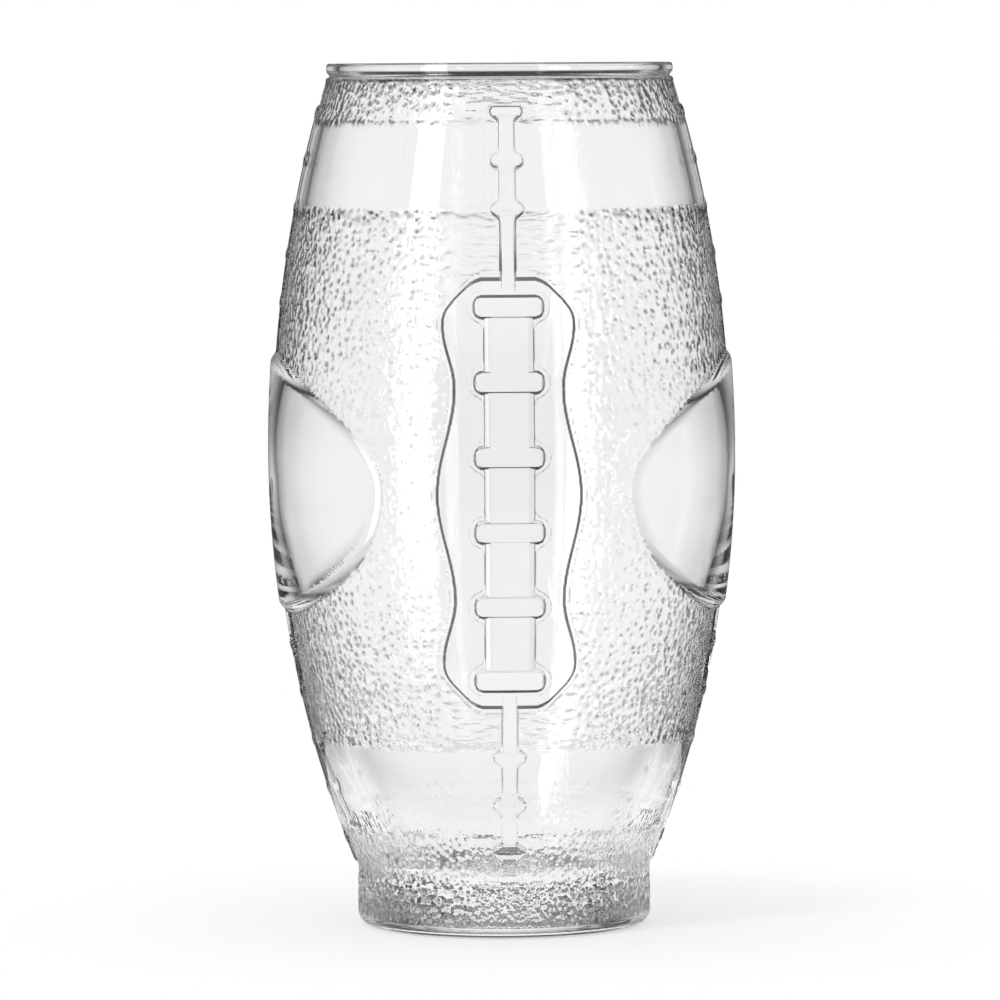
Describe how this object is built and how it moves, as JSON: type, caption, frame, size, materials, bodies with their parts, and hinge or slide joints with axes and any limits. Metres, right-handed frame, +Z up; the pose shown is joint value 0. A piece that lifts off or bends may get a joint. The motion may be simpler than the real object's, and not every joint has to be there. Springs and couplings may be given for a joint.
{
  "type": "drinking glass",
  "caption": "Beer tumbler of clear mould-blown glass in the shape of an American football, with raised laces, smooth side pads and a pebbled skin.",
  "frame": {"origin": "on the tumbler's axis, in the plane of the ring that it stands on", "axes": "+Z up along the axis, -Y out through the laces, +X and -X out through the side pads"},
  "size_m": [0.0916, 0.0908, 0.168],
  "materials": {
    "clear_glass": "clear, fire polished"
  },
  "bodies": {
    "root": {"glass_tumbler": "clear_glass"}
  },
  "joints": []
}
